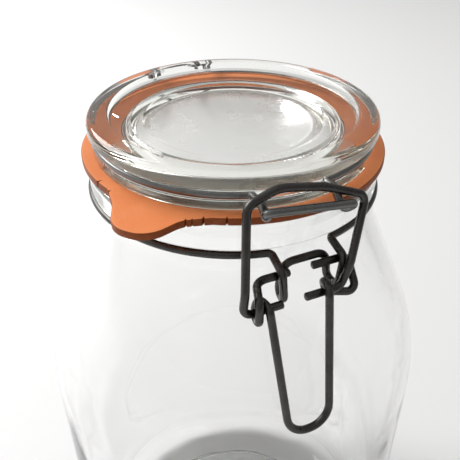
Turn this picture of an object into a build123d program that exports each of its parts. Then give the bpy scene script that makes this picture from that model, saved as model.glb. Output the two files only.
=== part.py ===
from build123d import *
import os
from math import asin, cos, radians, sin, sqrt

# Clip-top glass storage jar, about four litres: a round glass jar and lid, a rubber ring
# between them, and a wire closure made of four bent wires.
# Origin: centre of the resting face. +Z is up, the closure is on the -Y side and the hinge on +Y.

# ---- driving dimensions, mm ------------------------------------------------------------
LID_TOP = 275.0  # overall height of the closed jar
LID_R = 52.0  # outer radius of the lid's rim
BODY_R = 79.2  # outer radius of the jar's round body
WALL = 4.2  # glass thickness of the body
MOUTH_R = 43.6  # radius of the mouth
WIRE = 2.7  # wire diameter of all four wires
FIT = 0.1  # play between a wire and the glass groove it sits in

# heights that the lid, ring and neck share
FLANGE_Z = LID_TOP - 12.9  # underside of the lid's flange, where it presses on the rubber ring
RING_THICK = 2.5
SEAL_GAP = 0.2  # the ring stands this far off the jar's seat, so that the two never overlap
SEAT_Z = FLANGE_Z - RING_THICK - SEAL_GAP  # top face of the jar's neck

# jar
BASE_R = 60.0  # outer radius of the ring that the jar stands on
HEEL = 19.0  # outer rounding between wall and base
FLOOR_Z = 8.0  # top of the glass floor
PUNT = 3.0  # how far the middle of the base is raised
COLLAR_R = 53.3
GROOVE_R = 51.45  # neck groove behind the neck wire
NECK_Z = SEAT_Z - 18.4  # where the neck starts to widen into the shoulder
SHOULDER_Z = SEAT_Z - 81.0  # where the shoulder's cone would meet the straight wall
SHOULDER_ROUND = 85.0

# lid
DISH_Z = LID_TOP - 6.0  # dished middle of the top
RIDGE_Z = LID_TOP - 4.3  # raised ring round the dish
LID_UNDER_Z = LID_TOP - 11.4  # underside of the lid's middle
BOSS_Z = FLANGE_Z - 3.4  # lower edge of the boss that centres the lid in the mouth
BOSS_IN_R = 38.2

# rubber ring
RUBBER_R = 54.9
RUBBER_BORE = 42.0
TAB_ANGLE = -50.0  # direction of the pull tab, from the closure towards -X
TAB_R = 68.6  # distance from the jar's axis to the tab's tip

# neck wire
NECK_WIRE_R = GROOVE_R + FIT + WIRE / 2
NECK_WIRE_Z = LID_TOP - 27.6
EYE_S = 9.6  # sideways distance of each wire eye from the middle plane
EYE_HALF = 2.9  # half the inside-to-outside spacing of an eye's two strands
EYE_LOW_Z = LID_TOP - 41.4  # bottom of the front eyes
EYE_STOP_S = 13.2  # sideways distance at which the ring turns out into the eyes
REAR_BRIDGE_Z = LID_TOP - 24.2

# lid wire
LID_WIRE_R = 49.8
LID_WIRE_Z = LID_TOP - 7.8
HINGE_ARM_S = 13.4  # sideways distance of the two arms that reach back to the hinge

# axes of rotation, all parallel to X
HINGE_R, HINGE_Z = 60.5, LID_TOP - 14.2
PIVOT_R, PIVOT_Z = 57.5, LID_TOP - 32.5
LOOP_R, LOOP_Z = 64.0, LID_TOP - 38.5

# closure: the loop and lever have slid sideways in the eyes, and the catch leans
CLASP_SHIFT = -8.3
CATCH_LEAN = 8.0
CATCH_S, CATCH_R, CATCH_Z = -2.1, 60.0, LID_TOP - 8.85
CATCH_HALF = 16.2  # half the length of the catch bar, corner to corner
COIL_HALF = 2.95  # half the width of the lever's square-cornered coils, wire centre to wire centre
ARM_HALF = 10.4  # half the distance between the lever's arms where they leave the coils
RIGHT_PIN_S = 14.3  # sideways distance at which the lever's right end rises to its pin
TIP_R, TIP_Z = 78.5, LID_TOP - 82.6  # lowest point of the lever

os.makedirs("parts", exist_ok=True)


# ---- helpers ---------------------------------------------------------------------------
def front(s, r, z):
    """Point s to the right of the middle plane, r out from the axis towards the closure."""
    return Vector(s, -r, z)


def back(s, r, z):
    """The same on the hinge side."""
    return Vector(s, r, z)


def bent_wire(*edges):
    """Round wire of diameter WIRE along edges that meet end to end, each tangent to the next."""
    path = Wire([edge for group in edges for edge in group.edges()])
    start = Plane(origin=path @ 0, z_dir=path % 0)
    return sweep(start * Circle(WIRE / 2), path=path)


def turned(outline):
    """Solid of revolution about Z of a closed outline drawn in the XZ plane."""
    return revolve(make_face(outline), Axis.Z, 360)


def ring_end(radius, s, side, z):
    """Where a ring of this radius stops at sideways distance s, and the point it heads for next."""
    out = sqrt(radius**2 - s**2)
    lead = 2.6 if side is front else 2.2
    sign = 1 if s > 0 else -1
    ahead = side(s - sign * lead * out / radius, out + lead * abs(s) / radius, z)
    return side(s, out, z), ahead


# ---- glass jar -------------------------------------------------------------------------
def glass_jar():
    inner_wall = BODY_R - WALL
    outer = FilletPolyline(
        (0, PUNT),
        (BASE_R - 9, PUNT),
        (BASE_R - 7, 0),
        (BASE_R, 0),
        (BODY_R, 5.0),
        (BODY_R, SHOULDER_Z),
        (GROOVE_R, NECK_Z),
        (GROOVE_R, NECK_WIRE_Z + WIRE / 2 + FIT),
        (COLLAR_R, NECK_WIRE_Z + WIRE / 2 + FIT),
        (COLLAR_R, SEAT_Z),
        (MOUTH_R, SEAT_Z),
        (MOUTH_R, NECK_Z + 1.5),
        (inner_wall, SHOULDER_Z - 2.0),
        (inner_wall, FLOOR_Z),
        (0, FLOOR_Z + 1.0),
        radius=[2.5, 1.2, 3.0, HEEL * 0.8, SHOULDER_ROUND, 8.0, 0.4, 0.6, 1.6, 1.6, 12.0, 80.0, 13.0],
    )
    outline = Plane.XZ * (outer + Line((0, FLOOR_Z + 1.0), (0, PUNT)))
    return turned(outline)


# ---- glass lid -------------------------------------------------------------------------
def glass_lid():
    groove = LID_WIRE_R - WIRE / 2 - FIT
    ledge_z = LID_WIRE_Z - WIRE / 2 - FIT
    rim_under = LID_WIRE_Z + WIRE / 2 + FIT
    top = FilletPolyline(
        (0, DISH_Z),
        (29.5, DISH_Z),
        (32.6, RIDGE_Z),
        (36.8, RIDGE_Z),
        (38.2, LID_TOP - 5.1),
        (43.6, LID_TOP - 3.0),
        (44.4, LID_TOP),
        (LID_R, LID_TOP),
        (LID_R, rim_under + 1.6),
        (LID_R - 1.4, rim_under),
        (groove, rim_under),
        (groove, ledge_z),
        (50.6, ledge_z),
        (50.6, FLANGE_Z),
        (RUBBER_BORE - 0.5, FLANGE_Z),
        (RUBBER_BORE - 0.5, BOSS_Z),
        (BOSS_IN_R, BOSS_Z),
        (35.5, LID_UNDER_Z),
        (0, LID_UNDER_Z),
        radius=[3.0, 1.5, 1.2, 0.8, 0.8, 1.0, 2.8, 0.6, 0.6, 0.6, 0.6, 0.6, 0.6, 0.3, 1.2, 1.2, 2.0],
    )
    outline = Plane.XZ * (top + Line((0, LID_UNDER_Z), (0, DISH_Z)))
    return turned(outline)


# ---- rubber ring with its pull tab -------------------------------------------------------
def rubber_ring():
    # the tab's flanks: steep on the side away from the closure, tapering on the other
    outline = FilletPolyline(
        (-24.0, -47.0),
        (-13.2, -58.0),
        (-6.8, -TAB_R),
        (5.6, -TAB_R),
        (10.4, -57.0),
        (20.0, -50.5),
        radius=[12.0, 9.0, 9.0, 8.0],
    )
    tab_face = make_face(outline + Line(outline @ 1, outline @ 0))
    profile = Circle(RUBBER_R) + Rot(0, 0, TAB_ANGLE) * tab_face
    profile -= Circle(RUBBER_BORE)
    return Pos(0, 0, FLANGE_Z - RING_THICK) * extrude(profile, RING_THICK)


# ---- neck wire: a ring with two eyes in front and two behind -----------------------------
def neck_wire():
    strand_in, strand_out = PIVOT_R - EYE_HALF, PIVOT_R + EYE_HALF
    bridge_z = LID_TOP - 30.8
    ring_front, lead_front = ring_end(NECK_WIRE_R, EYE_STOP_S, front, NECK_WIRE_Z)
    front_half = FilletPolyline(
        front(0, strand_in, bridge_z),
        front(EYE_S - 1.7, strand_in, bridge_z),
        front(EYE_S - 0.6, strand_in, EYE_LOW_Z),
        front(EYE_S + 0.3, strand_out, EYE_LOW_Z),
        front(EYE_S + 1.4, strand_out, LID_TOP - 30.0),
        lead_front,
        ring_front,
        radius=[4.2, EYE_HALF - 0.05, EYE_HALF - 0.05, 2.5, 2.0],
    )
    hinge_in, hinge_out = HINGE_R - EYE_HALF, HINGE_R + EYE_HALF
    eye_top = HINGE_Z + EYE_HALF
    ring_back, lead_back = ring_end(NECK_WIRE_R, EYE_STOP_S, back, NECK_WIRE_Z)
    back_half = FilletPolyline(
        ring_back,
        lead_back,
        back(EYE_S + 0.7, hinge_in, NECK_WIRE_Z + 1.2),
        back(EYE_S + 0.2, hinge_in, eye_top),
        back(EYE_S - 0.2, hinge_out, eye_top),
        back(EYE_S - 1.0, hinge_out, REAR_BRIDGE_Z),
        back(0, hinge_out, REAR_BRIDGE_Z),
        radius=[2.0, 2.4, EYE_HALF - 0.05, EYE_HALF - 0.05, 2.4],
    )
    side_arc = ThreePointArc(ring_front, Vector(NECK_WIRE_R, 0, NECK_WIRE_Z), ring_back)
    half = bent_wire(front_half, side_arc, back_half)
    return half + mirror(half, Plane.YZ)


# ---- lid wire: a ring open at the hinge, bent into a catch bar in front --------------------
def catch_point(u, r, v):
    """Point of the leaning catch: u along the bar, v above it, r out from the jar's axis."""
    lean = radians(CATCH_LEAN)
    return front(
        CATCH_S + u * cos(lean) + v * sin(lean),
        r,
        CATCH_Z - u * sin(lean) + v * cos(lean),
    )


def lid_wire():
    stops = {-1: 18.2, 1: 11.0}  # sideways distance at which the ring turns out into the catch
    arcs = []
    catch = {}
    hinge = {}
    for side, stop in stops.items():
        ring_front, lead_front = ring_end(LID_WIRE_R, side * stop, front, LID_WIRE_Z)
        ring_back, lead_back = ring_end(LID_WIRE_R, side * 13.7, back, LID_WIRE_Z)
        middle = Vector(side * LID_WIRE_R, 0, LID_WIRE_Z)
        arcs.append(ThreePointArc(ring_front, middle, ring_back))
        run_out = front(lead_front.X * 0.6 + catch_point(side * 13.0, 0, 0).X * 0.4, 53.4, LID_WIRE_Z)
        catch[side] = [ring_front, lead_front, run_out, catch_point(side * 13.0, 57.6, -3.3)]
        catch[side].append(catch_point(side * CATCH_HALF, CATCH_R, 0))
        hinge[side] = FilletPolyline(
            ring_back,
            lead_back,
            back(side * HINGE_ARM_S, HINGE_R, LID_WIRE_Z),
            back(side * HINGE_ARM_S, HINGE_R, HINGE_Z),
            back(side * 5.6, HINGE_R, HINGE_Z),
            radius=[1.8, 2.3, 2.3],
        )
    points = catch[-1] + catch[1][::-1]
    bends = [1.8, 2.0, 1.6, 1.2]
    catch_path = FilletPolyline(*points, radius=bends + bends[::-1])
    return bent_wire(hinge[-1], arcs[0], catch_path, arcs[1], hinge[1])


# ---- lever: thumb loop whose ends coil round the clasp loop's pins -------------------------
def lever():
    front_r, back_r = LOOP_R + COIL_HALF, LOOP_R - COIL_HALF
    low_z, high_z = LOOP_Z - COIL_HALF, LOOP_Z + COIL_HALF
    left, right = CLASP_SHIFT - ARM_HALF, CLASP_SHIFT + ARM_HALF
    points = [
        front(-7.0, PIVOT_R, PIVOT_Z),
        front(-18.6, PIVOT_R, PIVOT_Z),
        front(left - 3.4, front_r, PIVOT_Z - 0.1),
        front(left - 3.2, front_r, low_z),
        front(left - 2.2, back_r, low_z),
        front(left - 0.9, back_r, high_z),
        front(left, front_r, high_z),
        front(left + 3.3, TIP_R, TIP_Z),
        front(right - 2.5, TIP_R, TIP_Z),
        front(right, front_r, high_z),
        front(right + 1.0, back_r, high_z),
        front(right + 2.9, back_r, low_z - 0.2),
        front(RIGHT_PIN_S, 64.8, low_z - 0.6),
        front(RIGHT_PIN_S, PIVOT_R, PIVOT_Z),
        front(1.2, PIVOT_R, PIVOT_Z),
    ]
    coil = COIL_HALF - 0.1
    bends = [4.6, coil, coil, coil, coil, coil, 7.4, 7.4, coil, coil, 2.4, 2.6, 2.6]
    return bent_wire(FilletPolyline(*points, radius=bends))


# ---- clasp loop: hooks over the catch, and its two pins turn in the lever's coils -----------
def clasp_loop():
    left, right = CLASP_SHIFT - 17.8, CLASP_SHIFT + 16.4
    points = [
        front(CLASP_SHIFT - 4.2, LOOP_R, LOOP_Z),
        front(left, LOOP_R, LOOP_Z),
        front(left + 0.9, LOOP_R - 0.2, LOOP_Z + 8.0),
        front(-21.6, 56.5, LID_TOP - 5.2),
        front(-11.5, 56.2, LID_TOP - 1.8),
        front(3.0, 57.0, LID_TOP - 4.4),
        front(18.6, 57.2, LID_TOP - 11.0),
        front(right + 3.0, LOOP_R - 0.2, LOOP_Z + 8.0),
        front(right, LOOP_R, LOOP_Z),
        front(CLASP_SHIFT + 3.8, LOOP_R, LOOP_Z),
    ]
    return bent_wire(FilletPolyline(*points, radius=[3.0, 12.0, 4.2, 12.0, 20.0, 3.0, 12.0, 3.0]))


NODES = {
    "glass_jar": (glass_jar, Color(0.85, 0.9, 0.88, 0.5)),
    "glass_lid": (glass_lid, Color(0.7, 0.8, 0.75, 0.6)),
    "rubber_ring": (rubber_ring, Color(0.9, 0.42, 0.2)),
    "neck_wire": (neck_wire, Color(0.35, 0.35, 0.36)),
    "lid_wire": (lid_wire, Color(0.45, 0.45, 0.46)),
    "lever": (lever, Color(0.2, 0.2, 0.22)),
    "clasp_loop": (clasp_loop, Color(0.25, 0.25, 0.3)),
}

for name, (make, colour) in NODES.items():
    node = make()
    node.label = name
    node.color = colour
    export_step(node, f"parts/{name}.step")
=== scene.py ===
from math import atan2, pi, radians, sqrt

import bmesh
import bpy
import numpy as np
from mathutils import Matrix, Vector


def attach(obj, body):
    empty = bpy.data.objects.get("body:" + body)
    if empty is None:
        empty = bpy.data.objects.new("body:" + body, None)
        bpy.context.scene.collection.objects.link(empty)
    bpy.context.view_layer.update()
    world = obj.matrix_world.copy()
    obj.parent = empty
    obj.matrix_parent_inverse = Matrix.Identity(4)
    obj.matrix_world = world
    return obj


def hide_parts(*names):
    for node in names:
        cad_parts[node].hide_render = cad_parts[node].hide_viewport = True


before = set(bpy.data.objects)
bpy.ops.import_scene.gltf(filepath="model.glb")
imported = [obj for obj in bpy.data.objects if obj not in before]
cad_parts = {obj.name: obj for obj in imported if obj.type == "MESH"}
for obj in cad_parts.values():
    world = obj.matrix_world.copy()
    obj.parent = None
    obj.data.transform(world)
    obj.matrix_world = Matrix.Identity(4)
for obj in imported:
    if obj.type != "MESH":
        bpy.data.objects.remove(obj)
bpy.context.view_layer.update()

MM = 0.001

# ---- sizes of the jar and its closure, mm ------------------------------------------------
LID_TOP = 275.0
WIRE = 2.7
PIVOT_R, PIVOT_Z = 57.5, LID_TOP - 32.5
LOOP_R, LOOP_Z = 64.0, LID_TOP - 38.5
HINGE_R, HINGE_Z = 60.5, LID_TOP - 14.2
CLASP_SHIFT = -8.3  # the loop and lever have slid sideways in the eyes
COIL_HALF = 2.95  # half the width of the lever's coils
TIP_R, TIP_Z = 78.5, LID_TOP - 82.6  # lowest point of the lever
CATCH_LEAN = radians(8.0)
NECK_WIRE_R, NECK_WIRE_Z = 52.9, LID_TOP - 27.6
LID_WIRE_R, LID_WIRE_Z = 49.8, LID_TOP - 7.8
EYE_STOP_S = 13.2  # sideways distance at which the neck wire's ring turns out into the eyes
RING_BORE, RING_R = 42.0, 54.9
RING_LOW, RING_HIGH = 259.6, 262.1
TAB_ANGLE = radians(-90 - 50)
FLANGE_Z = LID_TOP - 12.96  # underside of the lid's flange, pressed a hair into the rubber
SLACK_SIDE = radians(-114.5)  # direction in which the flange lifts off the rubber


# ---- lines -------------------------------------------------------------------------------
def rounded(points, radii, steps=12, spacing=1.2):
    """Polyline with arcs at its corners, as evenly spaced points.

    At a corner with unit directions a and b to its neighbours and the angle w between them, the arc of radius
    r starts r / tan(w / 2) along a, and its centre lies r / sin(w / 2) along the bisector. The arc's points
    come from turning the first spoke into the last in equal steps."""
    p = np.asarray(points, float)
    r = np.asarray(radii, float)[:, None]
    a = p[:-2] - p[1:-1]
    b = p[2:] - p[1:-1]
    a /= np.linalg.norm(a, axis=1, keepdims=True)
    b /= np.linalg.norm(b, axis=1, keepdims=True)
    w = np.arccos(np.clip((a * b).sum(1, keepdims=True), -1, 1))
    cut = r / np.tan(w / 2)
    bisector = (a + b) / np.linalg.norm(a + b, axis=1, keepdims=True)
    centre = p[1:-1] + bisector * r / np.sin(w / 2)
    first = p[1:-1] + a * cut - centre
    last = p[1:-1] + b * cut - centre
    turn = pi - w
    t = np.linspace(0, 1, steps)[None, :, None]
    turn = turn[:, :, None]
    opening = first[:, None] * np.sin((1 - t) * turn)
    closing = last[:, None] * np.sin(t * turn)
    spokes = (opening + closing) / np.sin(turn)
    arcs = (centre[:, None] + spokes).reshape(-1, p.shape[1])
    line = np.vstack([p[:1], arcs, p[-1:]])
    return evenly(line, spacing)


def evenly(line, spacing):
    """The same line with a point about every spacing along it, by linear interpolation, corners kept."""
    step = np.linalg.norm(np.diff(line, axis=0), axis=1)
    keep = np.r_[True, step > 1e-6]
    line = line[keep]
    step = np.linalg.norm(np.diff(line, axis=0), axis=1)
    at = np.r_[0, np.cumsum(step)]
    extra = np.linspace(0, at[-1], max(2, int(at[-1] / spacing)))
    far = np.abs(extra[:, None] - at[None]).min(1) > spacing * 0.4
    stations = np.sort(np.r_[at, extra[far]])
    return np.stack([np.interp(stations, at, line[:, k]) for k in range(line.shape[1])], 1)


# ---- meshes ------------------------------------------------------------------------------
def grid_piece(name, points, wrap_u, wrap_v, material, body, node=None, marks=None):
    """Mesh of a grid of points (u, v, 3) in mm, with quads between neighbours, closed round u or v where asked.

    marks are named numbers on the same grid, kept as attributes for the material."""
    nu, nv = points.shape[:2]
    index = np.arange(nu * nv).reshape(nu, nv)
    if wrap_u:
        index = np.vstack([index, index[:1]])
    if wrap_v:
        index = np.hstack([index, index[:, :1]])
    quads = np.stack([index[:-1, :-1], index[1:, :-1], index[1:, 1:], index[:-1, 1:]], -1).reshape(-1, 4)
    mesh = bpy.data.meshes.new(name)
    mesh.from_pydata((points.reshape(-1, 3) * MM).tolist(), [], quads.tolist())
    for mark, values in (marks or {}).items():
        attribute = mesh.attributes.new(mark, "FLOAT", "POINT")
        attribute.data.foreach_set("value", values.astype(np.float32).ravel())
    work = bmesh.new()
    work.from_mesh(mesh)
    bmesh.ops.remove_doubles(work, verts=work.verts, dist=2e-6)
    bmesh.ops.recalc_face_normals(work, faces=work.faces)
    work.to_mesh(mesh)
    work.free()
    mesh.shade_smooth()
    piece = bpy.data.objects.new(name, mesh)
    bpy.context.scene.collection.objects.link(piece)
    mesh.materials.append(material)
    if body:
        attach(piece, body)
    if node:
        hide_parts(node)
    return piece


def lathed(outline, steps, wobble=None):
    """Surface of revolution about Z of an outline of (r, z) points: (r cos q, r sin q, z), q once round."""
    q = np.arange(steps) / steps * 2 * pi
    r = np.repeat(outline[:, :1], steps, 1)
    z = np.repeat(outline[:, 1:], steps, 1)
    if wobble:
        r, z = wobble(r, z, q[None])
    return np.stack([r * np.cos(q), r * np.sin(q), z], -1)


def frames(path):
    """Tangents, and two sideways directions that don't spin about the path.

    A fixed leaning direction gives a sideways vector at each point. The angle by which each one is turned from
    its neighbour, beyond the path's own bend, is summed along the path and taken out."""
    tangent = np.gradient(path, axis=0)
    tangent /= np.linalg.norm(tangent, axis=1, keepdims=True)
    lean = np.array([0.31, 0.56, 0.77])
    side = np.cross(tangent, lean)
    side /= np.linalg.norm(side, axis=1, keepdims=True)
    across = np.cross(tangent, side)
    half = tangent[:-1] + tangent[1:]
    share = (side[:-1] * half).sum(1, keepdims=True) / (half * half).sum(1, keepdims=True)
    carried = side[:-1] - 2 * share * half
    carried -= (carried * tangent[1:]).sum(1, keepdims=True) * tangent[1:]
    turn = np.arctan2((carried * across[1:]).sum(1), (carried * side[1:]).sum(1))
    total = np.r_[0, np.cumsum(turn)][:, None]
    return tangent, side * np.cos(total) + across * np.sin(total), across * np.cos(total) - side * np.sin(total)


def wire_tube(path, around=20):
    """Round wire along a path of points in mm: each ring is the path's point plus the wire's radius times
    (cos q, sin q) in the two sideways directions. The ends are cut square with a small worn edge."""
    tangent, side, across = frames(path)
    radius = np.full(len(path), WIRE / 2)
    wear = 0.28
    first, last = path[:1], path[-1:]
    start, stop = first + tangent[:1] * wear, last - tangent[-1:] * wear
    path = np.vstack([first, first, start, path[1:-1], stop, last, last])
    side = np.vstack([side[:1]] * 3 + [side[1:-1]] + [side[-1:]] * 3)
    across = np.vstack([across[:1]] * 3 + [across[1:-1]] + [across[-1:]] * 3)
    radius = np.r_[0, WIRE / 2 - wear, WIRE / 2, radius[1:-1], WIRE / 2, WIRE / 2 - wear, 0][:, None, None]
    q = np.arange(around) / around * 2 * pi
    ring = np.cos(q)[None, :, None] * side[:, None] + np.sin(q)[None, :, None] * across[:, None]
    return path[:, None] + radius * ring


# ---- materials ---------------------------------------------------------------------------
class Socket:
    """Wraps a shader socket so that sums and products of numbers are written as expressions."""

    def __init__(self, tree, link):
        self.tree, self.link = tree, link

    def maths(self, operation, first, second):
        node = self.tree.node("ShaderNodeMath", {"operation": operation}, {0: first, 1: second})
        return Socket(self.tree, node.outputs[0])

    def __add__(self, other):
        return self.maths("ADD", self, other)

    def __radd__(self, other):
        return self.maths("ADD", other, self)

    def __sub__(self, other):
        return self.maths("SUBTRACT", self, other)

    def __rsub__(self, other):
        return self.maths("SUBTRACT", other, self)

    def __mul__(self, other):
        return self.maths("MULTIPLY", self, other)

    def __rmul__(self, other):
        return self.maths("MULTIPLY", other, self)

    def __truediv__(self, other):
        return self.maths("DIVIDE", self, other)

    def power(self, other):
        return self.maths("POWER", self, other)

    def high(self, other):
        return self.maths("MAXIMUM", self, other)

    def low(self, other):
        return self.maths("MINIMUM", self, other)

    def __lt__(self, other):
        return self.maths("LESS_THAN", self, other)


class Maker:
    """Adds nodes to a node tree."""

    def __init__(self, tree):
        self.tree = tree

    def node(self, kind, settings=None, inputs=None):
        """Adds a node: its type, then its settings, then the values or links of its sockets."""
        made = self.tree.nodes.new(kind)
        for key, value in (settings or {}).items():
            setattr(made, key, value)
        for key, value in (inputs or {}).items():
            self.feed(made.inputs[key], value)
        return made

    def feed(self, socket, value):
        if isinstance(value, Socket):
            value = value.link
        if isinstance(value, bpy.types.NodeSocket):
            self.tree.links.new(value, socket)
        else:
            socket.default_value = value

    def number(self, made, output=0):
        return Socket(self, made.outputs[output])

    def position(self):
        return self.node("ShaderNodeTexCoord").outputs["Object"]

    def axes(self):
        split = self.node("ShaderNodeSeparateXYZ", None, {0: self.position()})
        return [self.number(split, k) for k in range(3)]

    def noise(self, scale, detail=2.0, stretch=None, roughness=0.5):
        where = self.position()
        if stretch:
            scaled = self.node("ShaderNodeVectorMath", {"operation": "MULTIPLY"}, {0: where, 1: stretch})
            where = scaled.outputs[0]
        inputs = {"Vector": where, "Scale": scale, "Detail": detail, "Roughness": roughness}
        return self.number(self.node("ShaderNodeTexNoise", None, inputs))

    def mix(self, factor, first, second):
        made = self.node("ShaderNodeMix", {"data_type": "RGBA"}, {0: factor, 6: first, 7: second})
        return made.outputs[2]


class Finish(Maker):
    """A material under construction: its Principled shader and its node tree."""

    def __init__(self, name, **constants):
        self.material = bpy.data.materials.new(name)
        self.material.use_nodes = True
        super().__init__(self.material.node_tree)
        self.shader = next(n for n in self.tree.nodes if n.type == "BSDF_PRINCIPLED")
        self.output = next(n for n in self.tree.nodes if n.type == "OUTPUT_MATERIAL")
        for socket, value in constants.items():
            self.shader.inputs[socket.replace("_", " ")].default_value = value

    def set(self, socket, value):
        self.feed(self.shader.inputs[socket], value)

    def bump(self, height, strength, distance):
        made = self.node("ShaderNodeBump", None, {"Strength": strength, "Distance": distance, "Height": height})
        self.set("Normal", made.outputs[0])


def glass(name, tint, density, waviness, wave_scale, frosted=None):
    """Clear pressed glass, tinted by absorption with depth, with slow waves in its surface from the mould.

    frosted is a radius and a height, in metres. Inside the radius the glass is faintly rough, more so below
    the height."""
    finish = Finish(
        name,
        Base_Color=(1, 1, 1, 1),
        Roughness=0.0,
        IOR=1.5,
        Transmission_Weight=1.0,
    )
    waves = finish.noise(wave_scale, 1.5, (1, 1, 0.55))
    if frosted:
        radius, height = frosted
        x, y, z = finish.axes()
        reach = (x * x + y * y).power(0.5)
        inside = ((radius - reach) / 0.002 + 0.5).high(0.0).low(1.0)
        below = z < height
        finish.set("Roughness", inside * (0.11 + below * (0.10 + 0.16 * finish.noise(120, 3))))
    finish.bump(waves, 1.0, waviness)
    absorb = finish.node("ShaderNodeVolumeAbsorption", None, {"Color": tint, "Density": density})
    finish.tree.links.new(absorb.outputs[0], finish.output.inputs["Volume"])
    return finish.material


def rubber():
    """Matt orange natural rubber.

    Its faces have a pale, cloudy bloom and fine pits. Its cut sides, outside and in the bore, are painted darker
    and browner as shade, speckled."""
    finish = Finish("orange_rubber", Roughness=0.5, IOR=1.5, Specular_IOR_Level=0.3)
    cloud = finish.noise(70, 5)
    smear = finish.noise(38, 3, (1, 1, 4))
    speck = finish.noise(1100, 3)
    # painted shade: by this mask the ring's sides take the dark browns below instead of the face colour
    edge = finish.number(finish.node("ShaderNodeAttribute", {"attribute_name": "shaded_sides"}), "Fac")
    face = finish.mix(cloud, (0.82, 0.225, 0.065, 1), (0.93, 0.33, 0.125, 1))
    face = finish.mix((smear - 0.52).high(0.0) * 2.2, face, (0.78, 0.18, 0.042, 1))
    cut = finish.mix(speck, (0.17, 0.032, 0.002, 1), (0.34, 0.078, 0.008, 1))
    finish.set("Base Color", finish.mix(edge, face, cut))
    finish.set("Roughness", 0.40 + 0.25 * cloud)
    finish.bump(0.5 * speck + cloud, 0.5, 0.0003)
    return finish.material


def steel(name, dark, pale, roughness):
    """Dull drawn steel wire: dark mill scale, paler rubbed streaks, fine pits."""
    finish = Finish(name, Metallic=1.0, Roughness=0.4)
    cloud = finish.noise(180, 4)
    speck = finish.noise(2200, 3)
    finish.set("Base Color", finish.mix(cloud, dark, pale))
    finish.set("Roughness", roughness + 0.2 * speck)
    finish.bump(speck, 0.25, 0.0001)
    return finish.material


JAR_GLASS = glass("jar_glass", (0.80, 0.82, 0.66, 1), 3.0, 0.0006, 30.0)
LID_GLASS = glass("lid_glass", (0.72, 0.74, 0.50, 1), 10.0, 0.00008, 70.0, frosted=(0.0355, 0.2652))
RUBBER = rubber()
DARK_STEEL = steel("dark_steel", (0.042, 0.040, 0.038, 1), (0.105, 0.101, 0.096, 1), 0.19)
# painted light: the lid wire's steel is painted much paler than the other wires' steel, standing in for the
# light it reflects
LID_STEEL_PAINTED_LIGHT = steel("lid_steel_painted_light", (0.13, 0.13, 0.13, 1), (0.24, 0.24, 0.235, 1), 0.2)


# ---- glass jar ---------------------------------------------------------------------------
def jar_outline():
    """Outline from the raised middle of the base, up the outside, over the mouth and down the inside."""
    points = [
        (0, 3), (51, 3), (53, 0), (60, 0), (79.15, 5), (79.15, 178.4), (51.45, 241), (51.45, 248.85),
        (53.3, 248.85), (53.3, 259.4), (43.6, 259.4), (43.6, 242.5), (75, 176.4), (75, 8), (0, 9),
    ]
    return rounded(points, [2.5, 1.2, 3, 15.2, 85, 8, 0.4, 0.6, 1.6, 1.6, 12, 80, 13], steps=20, spacing=2.0)


def jar_waves(r, z, q):
    """Moves the inner wall in and out: 0.12 mm times slow waves round and up, none near mouth and floor."""
    inside = (r < 75.6) & (z > 14) & (z < 236) & (r > 42)
    fade = np.clip((z - 14) / 30, 0, 1) * np.clip((236 - z) / 30, 0, 1)
    wave = np.sin(3 * q + 0.9 * np.sin(z / 31)) * np.sin(z / 23 + 1.1) + 0.6 * np.sin(7 * q + z / 15)
    return r + inside * fade * 0.12 * wave, z


grid_piece(
    "jar_body", lathed(jar_outline(), 180, jar_waves), False, True, JAR_GLASS, "jar", "glass_jar"
)


# ---- glass lid ---------------------------------------------------------------------------
def lid_outline():
    """Outline from the middle of the dish out over the rim, down past the wire groove and flange, and back."""
    points = [
        (0, 269), (29.5, 269), (32.6, 270.7), (36.8, 270.7), (38.2, 269.9), (43.6, 272.0), (44.4, 275),
        (52, 275), (52, 270.25), (50.6, 268.65), (48.35, 268.65), (48.35, 265.75), (50.6, 265.75),
        (50.6, FLANGE_Z), (41.5, FLANGE_Z), (41.5, 258.7), (38.2, 258.7), (35.5, 263.6), (0, 263.6),
    ]
    radii = [3, 1.5, 1.2, 0.8, 0.8, 1.0, 2.8, 0.6, 0.6, 0.6, 0.6, 0.6, 0.6, 0.3, 1.2, 1.2, 2]
    return rounded(points, radii, steps=5, spacing=2.4)


def lid_mould_marks(r, z, q):
    """Knurled mould line and a slack contact.

    160 fine radial ridges run round the inner crown of the rim: 0.14 mm times a bell curve in r times
    (1 + cos 160 q) / 2. The outline has no point on the bell's peak, so the ridges are 0.08 mm deep at most.
    Under the flange, the glass lies on the rubber except in front, where it lifts 0.16 mm."""
    near = np.exp(-(((r - 45.6) / 0.6) ** 2)) * (z > 272)
    ridges = near * 0.14 * (1 + np.cos(160 * q)) / 2
    facing = np.clip((np.cos(q - SLACK_SIDE) - 0.35) / 0.3, 0, 1)
    lift = 0.16 * facing * (np.abs(z - FLANGE_Z) < 0.3) * (r > 41.6)
    return r, z - ridges + lift


grid_piece(
    "lid_disc", lathed(lid_outline(), 640, lid_mould_marks), False, True, LID_GLASS, "lid", "glass_lid"
)


# ---- rubber ring -------------------------------------------------------------------------
# each crack: degrees from the tab's direction, half-width in degrees, depth in mm
CRACKS = [
    (-27.6, 0.30, 1.5), (-19.6, 0.35, 1.0), (11.4, 0.22, 0.9), (13.2, 0.2, 0.6), (16.4, 0.24, 1.3),
    (23.6, 0.22, 1.0),
]


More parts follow.
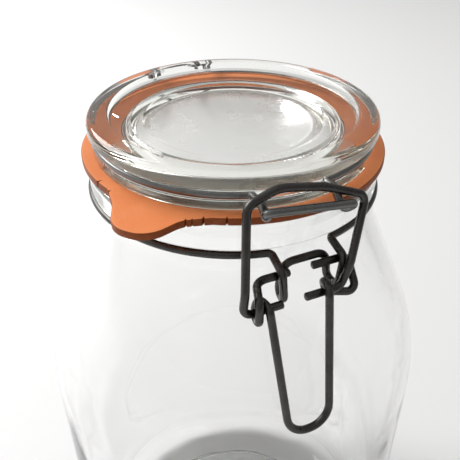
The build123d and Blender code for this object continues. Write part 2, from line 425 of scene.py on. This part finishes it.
def ring_edge(q):
    """Distance from the axis to the ring's outer edge in direction q.

    The ring's radius, or where it is farther the tab's: a rounded tongue, steep on the side away from the
    closure and tapering on the other. Old cracks bite narrow notches into it, each a bell curve in the angle."""
    corners = [(-24.0, 47.0), (-13.2, 58.0), (-6.8, 68.6), (5.6, 68.6), (10.4, 57.0), (20.0, 50.5)]
    flank = rounded(corners, [12, 9, 9, 8], steps=24, spacing=0.4)
    angle = np.arctan2(flank[:, 0], flank[:, 1])
    reach = np.hypot(flank[:, 0], flank[:, 1])
    away = (q - TAB_ANGLE + pi) % (2 * pi) - pi
    edge = np.maximum(np.interp(away, angle, reach, left=0, right=0), RING_R)
    away = np.degrees(away)
    for at, width, depth in CRACKS:
        edge = edge - depth * np.exp(-(((away - at) / width) ** 2))
    return edge


def rubber_ring():
    """Flat ring with a tab, and how much each point is on its cut sides, outside and in the bore, from 0 to 1:
    the mask for the rubber's painted shade.

    In each direction q the section is a rectangle from the bore to the outer edge, with each corner rounded by a
    quarter circle: centre + corner * (sin t, cos t). The two faces are flat."""
    fine = np.linspace(-0.55, 0.6, 900) + TAB_ANGLE
    rest = np.linspace(0.6, 2 * pi - 0.55, 420)[1:-1] + TAB_ANGLE
    q = np.r_[fine, rest]
    edge = ring_edge(q)[:, None]
    inner, low, high, corner = RING_BORE, RING_LOW, RING_HIGH, 0.32
    t = np.linspace(0, pi / 2, 5)
    across = np.linspace(0, 1, 18)
    top = inner + corner + (edge - inner - 2 * corner) * across[None]
    out_r = edge - corner + corner * np.sin(t)[None]
    out_z = high - corner + corner * np.cos(t)
    in_r = inner + corner - corner * np.cos(t)[None] + 0 * edge
    in_z = high - corner + corner * np.sin(t)
    r = np.hstack([top, out_r[:, 1:], out_r[:, ::-1], top[:, -2::-1], in_r[:, ::-1][:, 1:], in_r[:, :-1]])
    z = np.r_[
        high + 0 * across, out_z[1:], low + high - out_z[::-1], low + 0 * across[1:],
        low + high - in_z[::-1][1:], in_z[:-1],
    ]
    on_edge = np.r_[0 * across, 1 + 0 * t[1:], 1 + 0 * t, 0 * across[1:], 1 + 0 * t[1:], 1 + 0 * t[:-1]]
    z = np.broadcast_to(z, r.shape)
    points = np.stack([r * np.cos(q)[:, None], r * np.sin(q)[:, None], z], -1)
    return points, np.broadcast_to(on_edge, r.shape)


# the sides mask drives the painted shade on the rubber's sides
ring_points, ring_shaded_sides = rubber_ring()
grid_piece("seal_ring", ring_points, True, True, RUBBER, "lid", "rubber_ring", {"shaded_sides": ring_shaded_sides})


# ---- wires -------------------------------------------------------------------------------
def front(s, r, z):
    return (s, -r, z)


def back(s, r, z):
    return (s, r, z)


def ring_end(radius, s, side, z):
    """Where a ring of this radius stops at sideways distance s, and the point it heads for next."""
    out = sqrt(radius**2 - s**2)
    lead = 2.6 if side is front else 2.2
    sign = 1 if s > 0 else -1
    ahead = side(s - sign * lead * out / radius, out + lead * abs(s) / radius, z)
    return side(s, out, z), ahead


def ring_arc(first, last, radius, z):
    """Arc about the axis from one point to another, by the side that their X is on."""
    a0, a1 = atan2(first[1], first[0]), atan2(last[1], last[0])
    if first[0] < 0:
        a0, a1 = a0 % (2 * pi), a1 % (2 * pi)
    q = np.linspace(a0, a1, 110)
    return np.stack([radius * np.cos(q), radius * np.sin(q), np.full_like(q, z)], 1)


def neck_wire_path():
    """Closed ring round the neck with two eyes and a bridge in front, and two eyes and a bridge behind."""
    ring_front, lead_front = ring_end(NECK_WIRE_R, EYE_STOP_S, front, NECK_WIRE_Z)
    ring_back, lead_back = ring_end(NECK_WIRE_R, EYE_STOP_S, back, NECK_WIRE_Z)
    front_half = rounded(
        [
            front(0, 54.6, 244.2), front(7.9, 54.6, 244.2), front(9.0, 54.6, 233.6), front(9.9, 60.4, 233.6),
            front(11.0, 60.4, 245.0), lead_front, ring_front,
        ],
        [4.2, 2.85, 2.85, 2.5, 2],
    )
    back_half = rounded(
        [
            ring_back, lead_back, back(10.3, 57.6, 248.6), back(9.8, 57.6, 263.7), back(9.4, 63.4, 263.7),
            back(8.6, 63.4, 250.8), back(0, 63.4, 250.8),
        ],
        [2, 2.4, 2.85, 2.85, 2.4],
    )
    side_arc = ring_arc(ring_front, ring_back, NECK_WIRE_R, NECK_WIRE_Z)
    half = np.vstack([front_half, side_arc[1:-1], back_half])
    other = half[::-1] * (-1, 1, 1)
    return np.vstack([half, other[1:-1]])


def catch_point(u, r, v):
    """Point of the leaning catch: u along the bar, v above it, r out from the jar's axis."""
    along, rise = np.cos(CATCH_LEAN), np.sin(CATCH_LEAN)
    return front(-2.1 + u * along + v * rise, r, LID_TOP - 8.85 - u * rise + v * along)


def lid_wire_path():
    """Ring round the lid, from one hinge pin forward to the catch bar and back to the other hinge pin."""
    radius, ring_z = LID_WIRE_R, LID_WIRE_Z
    halves = []
    for side, stop in ((-1, 18.2), (1, 11.0)):
        ring_front, lead_front = ring_end(radius, side * stop, front, ring_z)
        ring_back, lead_back = ring_end(radius, side * 13.7, back, ring_z)
        run_out = front(lead_front[0] * 0.6 + catch_point(side * 13.0, 0, 0)[0] * 0.4, 53.4, ring_z)
        hinge = rounded(
            [
                back(side * 5.6, HINGE_R, HINGE_Z), back(side * 13.4, HINGE_R, HINGE_Z),
                back(side * 13.4, HINGE_R, ring_z), lead_back, ring_back,
            ],
            [2.3, 2.3, 1.8],
        )
        arc = ring_arc(ring_back, ring_front, radius, ring_z)
        corner, end = catch_point(side * 13.0, 57.6, -3.3), catch_point(side * 16.2, 60.0, 0)
        halves.append((hinge, arc, [ring_front, lead_front, run_out, corner, end]))
    bends = [1.8, 2.0, 1.6, 1.2]
    catch = rounded(halves[0][2] + halves[1][2][::-1], bends + bends[::-1])
    left, right = (np.vstack([h[0], h[1][1:-1]]) for h in halves)
    return np.vstack([left, catch, right[::-1]])


def lever_path():
    """Pin, coil round the loop's pin, thumb loop, coil and pin."""
    front_r, back_r = LOOP_R + COIL_HALF, LOOP_R - COIL_HALF
    low_z, high_z = LOOP_Z - COIL_HALF, LOOP_Z + COIL_HALF
    left, right = CLASP_SHIFT - 10.4, CLASP_SHIFT + 10.4
    points = [
        front(-7.0, PIVOT_R, PIVOT_Z), front(-18.6, PIVOT_R, PIVOT_Z),
        front(left - 3.4, front_r, PIVOT_Z - 0.1), front(left - 3.2, front_r, low_z),
        front(left - 2.2, back_r, low_z), front(left - 0.9, back_r, high_z), front(left, front_r, high_z),
        front(left + 3.3, TIP_R, TIP_Z), front(right - 2.5, TIP_R, TIP_Z), front(right, front_r, high_z),
        front(right + 1.0, back_r, high_z), front(right + 2.9, back_r, low_z - 0.2),
        front(14.3, 64.8, low_z - 0.6), front(14.3, PIVOT_R, PIVOT_Z), front(1.2, PIVOT_R, PIVOT_Z),
    ]
    bend = COIL_HALF - 0.1
    return rounded(points, [4.6] + [bend] * 5 + [7.4, 7.4] + [bend, bend, 2.4, 2.6, 2.6])


def clasp_loop_path():
    """Pin, leg, bar over the catch, leg and pin."""
    left, right = CLASP_SHIFT - 17.8, CLASP_SHIFT + 16.4
    points = [
        front(CLASP_SHIFT - 4.2, LOOP_R, LOOP_Z), front(left, LOOP_R, LOOP_Z),
        front(left + 0.9, LOOP_R - 0.2, LOOP_Z + 8.0), front(-21.6, 56.5, LID_TOP - 5.2),
        front(-11.5, 56.2, LID_TOP - 1.8), front(3.0, 57.0, LID_TOP - 4.4), front(18.6, 57.2, LID_TOP - 11.0),
        front(right + 3.0, LOOP_R - 0.2, LOOP_Z + 8.0), front(right, LOOP_R, LOOP_Z),
        front(CLASP_SHIFT + 3.8, LOOP_R, LOOP_Z),
    ]
    return rounded(points, [3, 12, 4.2, 12, 20, 3, 12, 3])


def closed_wire_tube(path, around=20):
    """The same as wire_tube on a path without ends."""
    lap = np.vstack([path[-3:], path, path[:3]])
    tangent, side, across = (a[3:-3] for a in frames(lap))
    q = np.arange(around) / around * 2 * pi
    ring = np.cos(q)[None, :, None] * side[:, None] + np.sin(q)[None, :, None] * across[:, None]
    return path[:, None] + WIRE / 2 * ring


grid_piece("neck_wire_ring", closed_wire_tube(neck_wire_path()), True, True, DARK_STEEL, "jar", "neck_wire")
grid_piece("lid_wire_ring", wire_tube(lid_wire_path()), False, True, LID_STEEL_PAINTED_LIGHT, "lid", "lid_wire")
grid_piece("thumb_lever", wire_tube(lever_path()), False, True, DARK_STEEL, "lever", "lever")
grid_piece("hook_loop", wire_tube(clasp_loop_path()), False, True, DARK_STEEL, "loop", "clasp_loop")


# ---- studio ------------------------------------------------------------------------------
def floor():
    finish = Finish("pale_floor", Base_Color=(0.86, 0.86, 0.86, 1), Roughness=0.7)
    half = 6000.0
    q = np.linspace(-half, half, 3)
    x, y = np.meshgrid(q, q, indexing="ij")
    piece = grid_piece(
        "floor", np.stack([x, y, np.full_like(x, -0.05)], -1), False, False, finish.material, None
    )


def area_light(name, place, target, size, power):
    light = bpy.data.lights.new(name, "AREA")
    light.shape = "RECTANGLE"
    light.size, light.size_y = size
    light.energy = power
    lamp = bpy.data.objects.new(name, light)
    lamp.location = place
    lamp.rotation_euler = (Vector(target) - Vector(place)).to_track_quat("-Z", "Y").to_euler()
    bpy.context.scene.collection.objects.link(lamp)


def studio_sky():
    """Soft room light: dim behind the viewer, brighter towards the far left and overhead.

    Strength is low + (high - low) * m ** 1.5, where m from 0 to 1 is how far a direction leans to the bright
    side."""
    low, high = 0.22, 0.70
    bright_side = Vector((-0.55, 0.60, 0.58)).normalized()
    world = bpy.data.worlds.new("studio")
    world.use_nodes = True
    sky = Maker(world.node_tree)
    background = next(n for n in world.node_tree.nodes if n.type == "BACKGROUND")
    direction = sky.node("ShaderNodeTexCoord").outputs["Generated"]
    lean = sky.node("ShaderNodeVectorMath", {"operation": "DOT_PRODUCT"}, {0: direction, 1: tuple(bright_side)})
    share = (sky.number(lean, "Value") * 0.5 + 0.5).power(1.5)
    sky.feed(background.inputs["Strength"], share * (high - low) + low)
    background.inputs["Color"].default_value = (1.0, 0.995, 0.98, 1)
    bpy.context.scene.world = world


def studio():
    floor()
    studio_sky()
    bpy.context.scene.view_settings.view_transform = "Standard"
    area_light("window", (-0.9, 1.25, 1.25), (-0.05, 0.15, 0.05), (1.2, 1.2), 36)
    area_light("glint", (0.996, 1.618, 1.06), (0, 0, 0.26), (0.10, 0.03), 0.30)


def camera():
    """Looks down at the closure from the front left, as a person standing over the jar would."""
    pitch, turn = radians(34.3), radians(24.5)
    distance = 244.6 * MM
    target = Vector((0, 0, 220.7 * MM))
    level = np.cos(pitch)
    place = target + distance * Vector((-np.sin(turn) * level, -np.cos(turn) * level, np.sin(pitch)))
    data = bpy.data.cameras.new("camera")
    data.sensor_width = 36.0
    data.lens = 46.96
    data.shift_x = -3.1 / 460
    data.clip_start = 0.01
    made = bpy.data.objects.new("camera", data)
    made.location = place
    made.rotation_euler = (target - place).to_track_quat("-Z", "Y").to_euler()
    bpy.context.scene.collection.objects.link(made)
    bpy.context.scene.camera = made


studio()
camera()
